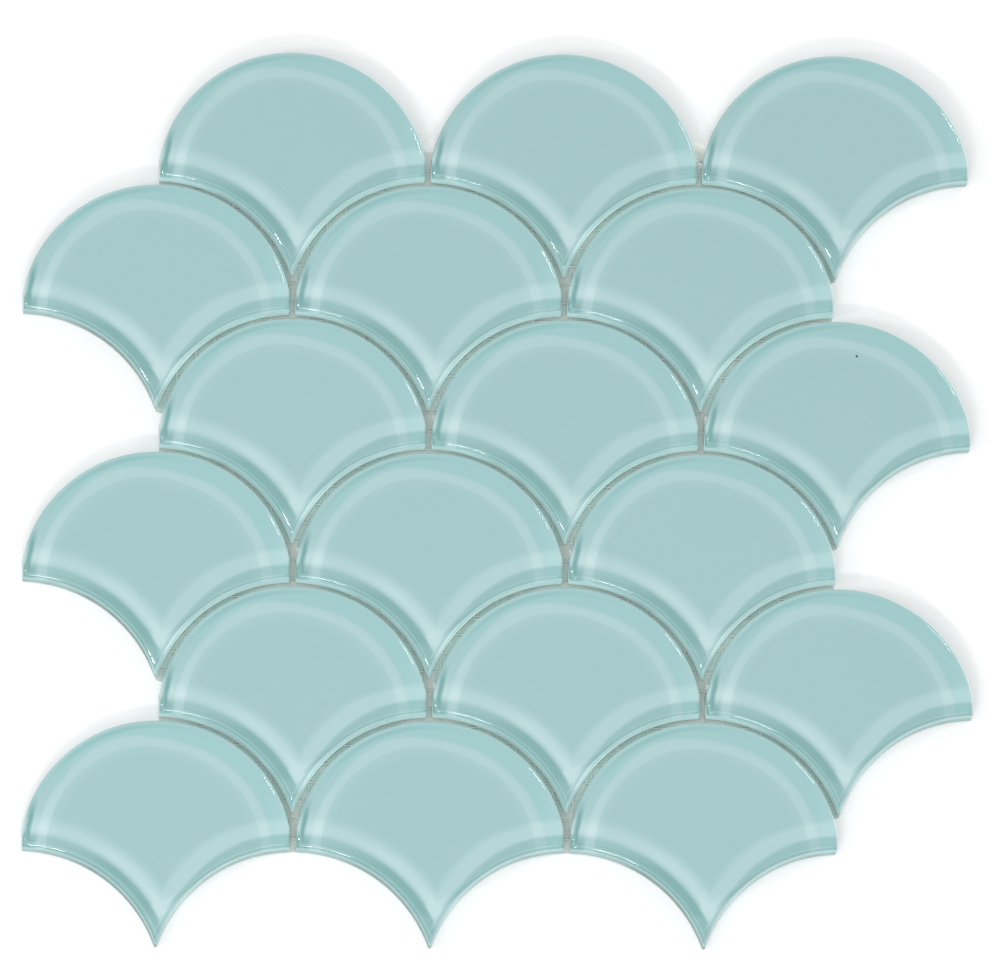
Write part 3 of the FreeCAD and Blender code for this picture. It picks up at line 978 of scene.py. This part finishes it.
class MOSAIC_OT_tiles(Operator):
    """Make the glass tiles"""

    bl_idname = "mosaic.tiles"
    bl_label = "Glass tiles"

    def execute(self, context):
        settings = context.scene.mosaic
        glass = glass_finish(settings)
        coat = coat_finish(settings)
        side = side_finish(settings)
        for place, node in TILE_NODES.items():
            name = f"glass_{node}"
            mesh = make_tile_mesh(name, settings.tile, tile_centre(place, settings.tile))
            piece = add_piece(name, mesh, "aqua_glass", glass, coat, side)
            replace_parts(piece, node)
        return {"FINISHED"}


def strand_runs(node):
    """Lowest and highest corner of every bar in one layer of the net, in order of place."""
    bm = bmesh.new()
    bm.from_mesh(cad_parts[node].data)
    bmesh.ops.remove_doubles(bm, verts=bm.verts, dist=MERGE)
    unseen = set(bm.verts)
    runs = []
    while unseen:
        front = [unseen.pop()]
        bar = []
        while front:
            vert = front.pop()
            bar.append(vert.co.copy())
            near = {edge.other_vert(vert) for edge in vert.link_edges} & unseen
            unseen -= near
            front += near
        low = Vector([min(parts) for parts in zip(*bar)])
        high = Vector([max(parts) for parts in zip(*bar)])
        runs.append((low, high))
    bm.free()
    return sorted(runs, key=lambda run: tuple(run[0]))


# Steps and sides of a yarn.
STEPS_PER_CROSSING = 3
FEWEST_STEPS = 2
YARN_SIDES = 5
QUAD = 4


def add_yarn(layer, start, end, width, height, steps, swing):
    """Adds a yarn from start to end, which swing moves sideways and up at each of its points."""
    run = end - start
    across = UP.cross(run).normalized()
    bm = bmesh.new()
    uv = bm.loops.layers.uv.new(YARN_MAP)
    bmesh.ops.create_cone(
        bm, cap_ends=True, segments=YARN_SIDES, radius1=HALF, radius2=HALF, depth=1.0
    )
    sides = [edge for edge in bm.edges if abs(edge.verts[0].co.z - edge.verts[1].co.z) > HALF]
    bmesh.ops.subdivide_edges(bm, edges=sides, cuts=steps - 1, use_grid_fill=True)
    for face in bm.faces:
        face.smooth = len(face.verts) == QUAD
        for loop in face.loops:
            along = (loop.vert.co.z + HALF) * run.length / MM
            around = math.atan2(loop.vert.co.y, loop.vert.co.x) / math.tau
            loop[uv].uv = (along, around)
    for vert in bm.verts:
        middle = start + run * (vert.co.z + HALF)
        offset, lift = swing(middle)
        vert.co = middle + across * (vert.co.x * width + offset) + UP * (vert.co.y * height + lift)
    strand = to_mesh(bm, "strand")
    layer.from_mesh(strand)
    bpy.data.meshes.remove(strand)


class MOSAIC_OT_net(Operator):
    """Make the net's two layers of strands, which cross over and under each other"""

    bl_idname = "mosaic.net"
    bl_label = "Net"

    def execute(self, context):
        net = context.scene.mosaic.net
        yarn = yarn_finish(context.scene.mosaic)
        warp = strand_runs(WARP_NODE)
        weft = strand_runs(WEFT_NODE)
        first_x = min((low.x + high.x) / 2 for low, high in warp)
        first_y = min((low.y + high.y) / 2 for low, high in weft)
        level = max(high.z for _, high in weft) / 2

        def wave(place, first):
            return math.cos(math.pi * (place - first) / net.strand_pitch)

        def crimp(point):
            return net.crimp * wave(point.x, first_x) * wave(point.y, first_y)

        def steps(run):
            return max(FEWEST_STEPS, round(run / net.strand_pitch * STEPS_PER_CROSSING))

        bm = bmesh.new()
        for low, high in warp:
            x = (low.x + high.x) / 2
            start = Vector((x, low.y, level))
            end = Vector((x, high.y, level))
            for hand in (-1, 1):
                def swing(point, hand=hand):
                    turn_share = wave(point.y, first_y)
                    return hand * net.warp_twist * turn_share, crimp(point)

                add_yarn(
                    bm, start, end, net.warp_width, net.warp_height, steps(high.y - low.y), swing
                )
        self.add_layer(bm, "net_warp", WARP_NODE, yarn)

        bm = bmesh.new()
        for low, high in weft:
            y = (low.y + high.y) / 2
            start = Vector((low.x, y, level))
            end = Vector((high.x, y, level))
            add_yarn(
                bm,
                start,
                end,
                net.weft_width,
                net.weft_height,
                steps(high.x - low.x),
                lambda point: (0.0, -crimp(point)),
            )
        self.add_layer(bm, "net_weft", WEFT_NODE, yarn)
        return {"FINISHED"}

    def add_layer(self, bm, name, node, yarn):
        bmesh.ops.recalc_face_normals(bm, faces=bm.faces)
        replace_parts(add_piece(name, to_mesh(bm, name), "net_yarn", yarn), node)


# The film's strips, in millimetres and degrees from a tile's middle.
FILM_UNDER_FAN = 1.0 * MM
FILM_UNDER_HOLLOW = 0.3 * MM
FILM_START = 18.0
FILM_CROWN = 90.0
FILM_CROWN_OUTSIDE = 88.7
HALF_TURN = 180.0
UPRIGHT_WIDTH = 3.0 * MM
UPRIGHT_LIFT = 0.02 * MM
UPRIGHT_FOOT = 2.2 * MM
UPRIGHT_HEAD = 17.0 * MM
UPRIGHT_CELLS = (2, 6)
NOTCH_WIDTH = 7.4 * MM
NOTCH_HEADS = (12.6 * MM, 16.3 * MM)

# Strings of glue: notch, place from the joint's foot and bow in millimetres, two angles in degrees.
GLUE_STRINGS = (
    (0, (0.9, 15.6), 1.1, -70, 110),
    (0, (0.1, 13.1), 1.2, 20, 165),
    (1, (1.1, 15.4), 0.8, 190, 350),
    (1, (-0.4, 15.1), 0.7, 10, 150),
    (1, (-0.2, 10.7), 0.8, 100, 260),
    (1, (0.5, 8.6), 0.6, -80, 170),
)
GLUE_SIDES = 6
GLUE_STEPS = 10


class MOSAIC_OT_adhesive(Operator):
    """Make the dried adhesive that closes the net in the joints"""

    bl_idname = "mosaic.adhesive"
    bl_label = "Adhesive"

    def execute(self, context):
        settings = context.scene.mosaic
        tile = settings.tile
        net = settings.net
        bm = bmesh.new()
        plan = bm.loops.layers.uv.new(PLAN_MAP)
        for row, column in TILE_NODES:
            centre = tile_centre((row, column), tile)
            leans_right = row % 2 == 0
            above_left = (row - 1, column if leans_right else column - 1)
            above_right = (row - 1, column + 1 if leans_right else column)
            inside = above_left in TILE_NODES and above_right in TILE_NODES
            crown = FILM_CROWN if inside else FILM_CROWN_OUTSIDE
            if above_right in TILE_NODES:
                self.add_arc(bm, plan, tile, net, centre, FILM_START, crown)
            if above_left in TILE_NODES:
                self.add_arc(bm, plan, tile, net, centre, HALF_TURN - crown, HALF_TURN - FILM_START)
            if (row, column + 1) in TILE_NODES:
                low = 0.0 if row < ROWS - 1 else UPRIGHT_FOOT
                high = UPRIGHT_HEAD if row else NOTCH_HEADS[column]
                width = UPRIGHT_WIDTH if row else NOTCH_WIDTH
                self.add_upright(bm, plan, tile, net, centre, width, low, high)
        bmesh.ops.solidify(bm, geom=bm.faces[:], thickness=net.film_height)
        bmesh.ops.recalc_face_normals(bm, faces=bm.faces)
        self.add_film(bm, "adhesive_film", film_finish(settings), False)
        bm = bmesh.new()
        for notch, place, bow, first, last in GLUE_STRINGS:
            foot = tile_centre((0, notch), tile) + Vector((tile.pitch / 2, 0, 0))
            self.add_string(bm, net, foot + Vector((*place, 0)) * MM, bow * MM, first, last)
        bmesh.ops.recalc_face_normals(bm, faces=bm.faces)
        self.add_film(bm, "glue_strings", glue_finish(settings), True)
        return {"FINISHED"}

    def add_film(self, bm, name, material, smooth):
        for face in bm.faces:
            face.smooth = smooth
        add_piece(name, to_mesh(bm, name), "net_yarn", material)

    def add_arc(self, bm, plan, tile, net, centre, start, end):
        """A strip of film under the joint that runs along a tile's round top."""
        start = math.radians(start)
        way = Vector((math.cos(start), math.sin(start), 0))
        base = centre + UP * net.film_level
        first = bm.verts.new(base + way * (tile.fan_radius - FILM_UNDER_FAN))
        second = bm.verts.new(base + way * (tile.hollow_radius + FILM_UNDER_HOLLOW))
        edge = bm.edges.new((first, second))
        before = set(bm.faces)
        bmesh.ops.spin(
            bm,
            geom=[first, second, edge],
            cent=centre,
            axis=UP,
            angle=math.radians(end) - start,
            steps=HOLLOW_STEPS,
        )
        for face in set(bm.faces) - before:
            for loop in face.loops:
                loop[plan].uv = (loop.vert.co - centre).xy / MM

    def add_upright(self, bm, plan, tile, net, centre, width, low, high):
        """A strip of film under the joint between two tiles of a row."""
        across, along = UPRIGHT_CELLS
        made = bmesh.ops.create_grid(bm, x_segments=across, y_segments=along, size=HALF)
        bmesh.ops.scale(bm, verts=made["verts"], vec=(width, high - low, 1))
        place = centre + Vector((tile.pitch / 2, (low + high) / 2, net.film_level + UPRIGHT_LIFT))
        bmesh.ops.translate(bm, verts=made["verts"], vec=place)
        for vert in made["verts"]:
            for loop in vert.link_loops:
                loop[plan].uv = (vert.co - place).xy / MM

    def add_string(self, bm, net, centre, bow, first, last):
        """A bow of glue that lies on the net."""
        made = bmesh.ops.create_circle(
            bm, cap_ends=True, segments=GLUE_SIDES, radius=net.glue_radius
        )
        disc = made["verts"]
        upright = Euler((math.pi / 2, 0, 0)).to_matrix()
        bmesh.ops.rotate(bm, verts=disc, cent=(0, 0, 0), matrix=upright)
        bmesh.ops.translate(bm, verts=disc, vec=(bow, 0, 0))
        begin = Euler((0, 0, math.radians(first))).to_matrix()
        bmesh.ops.rotate(bm, verts=disc, cent=(0, 0, 0), matrix=begin)
        level = net.film_level + net.film_height + net.glue_radius
        centre = centre + UP * level
        bmesh.ops.translate(bm, verts=disc, vec=centre)
        cap = disc[0].link_faces[0]
        start = [cap, *cap.edges, *cap.verts]
        bmesh.ops.spin(
            bm,
            geom=start,
            cent=centre,
            axis=UP,
            angle=math.radians(last - first),
            steps=GLUE_STEPS,
        )


class MOSAIC_OT_stage(Operator):
    """Make the white ground, the lights and the camera"""

    bl_idname = "mosaic.stage"
    bl_label = "Stage"

    # Name, place, width and height in metres, and share of the light on the ground.
    LAMPS = (
        ("main_lamp", (-0.35, -0.6, 1.6), 1.6, 1.6, 0.2),
        ("front_lamp", (-0.28, -0.98, 1.08), 0.36, 0.075, 0.11),
        ("left_lamp", (-0.85, -0.21, 0.85), 0.08, 0.12, 0.07),
        ("right_lamp", (0.82, 0.7, 1.0), 0.2, 0.08, 0.045),
    )
    FLOOR_ROUGHNESS = 0.9
    VIEW_DEPTH = 4

    def execute(self, context):
        stage = context.scene.mosaic.stage
        self.make_floor(stage)
        self.make_light(context.scene, stage)
        self.make_camera(context.scene, stage)
        context.scene.view_settings.view_transform = "Standard"
        return {"FINISHED"}

    def make_floor(self, stage):
        bm = bmesh.new()
        bmesh.ops.create_grid(bm, x_segments=1, y_segments=1, size=stage.floor_size / 2)
        mesh = to_mesh(bm, "ground")
        finish = Finish("white_ground")
        path = finish.node("ShaderNodeLightPath").outputs
        rays = ("Is Camera Ray", "Is Glossy Ray", "Is Transmission Ray")
        camera, glossy, through = (Field(finish, path[name]) for name in rays)
        seen = finish.larger(camera, finish.larger(glossy, through))
        mesh.materials.append(
            finish.surface(
                {
                    "Base Color": (*stage.floor, 1),
                    "Roughness": self.FLOOR_ROUGHNESS,
                    "Specular IOR Level": 0.0,
                    "Emission Color": finish.blend(BLACK, WHITE, seen),
                    "Emission Strength": stage.floor_lift,
                }
            )
        )
        floor = bpy.data.objects.new("ground", mesh)
        bpy.context.scene.collection.objects.link(floor)

    def make_light(self, scene, stage):
        world = bpy.data.worlds.new("even_light")
        world.use_nodes = True
        background = world.node_tree.nodes["Background"]
        background.inputs["Color"].default_value = WHITE
        background.inputs["Strength"].default_value = stage.sky
        scene.world = world
        for name, place, width, height, share in self.LAMPS:
            beam = Vector(place)
            lamp = bpy.data.lights.new(name, "AREA")
            lamp.shape = "RECTANGLE"
            lamp.size = width
            lamp.size_y = height
            lamp.energy = share * math.pi**2 * beam.length**3 / beam.z
            holder = bpy.data.objects.new(name, lamp)
            holder.location = beam
            holder.rotation_euler = beam.to_track_quat("Z", "Y").to_euler()
            scene.collection.objects.link(holder)

    def make_camera(self, scene, stage):
        camera = bpy.data.objects.new("camera", bpy.data.cameras.new("camera"))
        turned = Euler((stage.tilt, stage.sway, stage.roll))
        camera.rotation_euler = turned
        camera.location = Vector(stage.aim) + turned.to_matrix() @ UP * stage.distance
        camera.data.lens = stage.lens
        camera.data.clip_end = stage.distance * self.VIEW_DEPTH
        scene.collection.objects.link(camera)
        scene.camera = camera


class MOSAIC_PT_sheet(Panel):
    """Lists the steps that dress the sheet"""

    bl_idname = "MOSAIC_PT_sheet"
    bl_label = "Mosaic sheet"
    bl_space_type = "VIEW_3D"
    bl_region_type = "UI"
    bl_category = "Mosaic"

    def draw(self, context):
        settings = context.scene.mosaic
        for step in STEPS:
            self.layout.operator(step.bl_idname)
        for group in (settings.tile, settings.glass, settings.net, settings.stage):
            box = self.layout.box()
            for name in group.__annotations__:
                box.prop(group, name)


STEPS = (MOSAIC_OT_tiles, MOSAIC_OT_net, MOSAIC_OT_adhesive, MOSAIC_OT_stage)
CLASSES = (
    TileSizes,
    GlassColours,
    NetSizes,
    StageSettings,
    MosaicSettings,
    *STEPS,
    MOSAIC_PT_sheet,
)


def register():
    for item in CLASSES:
        bpy.utils.register_class(item)
    bpy.types.Scene.mosaic = PointerProperty(type=MosaicSettings)


def unregister():
    del bpy.types.Scene.mosaic
    for item in reversed(CLASSES):
        bpy.utils.unregister_class(item)


def main():
    register()
    bpy.ops.mosaic.tiles()
    bpy.ops.mosaic.net()
    bpy.ops.mosaic.adhesive()
    bpy.ops.mosaic.stage()


if __name__ == "__main__":
    main()
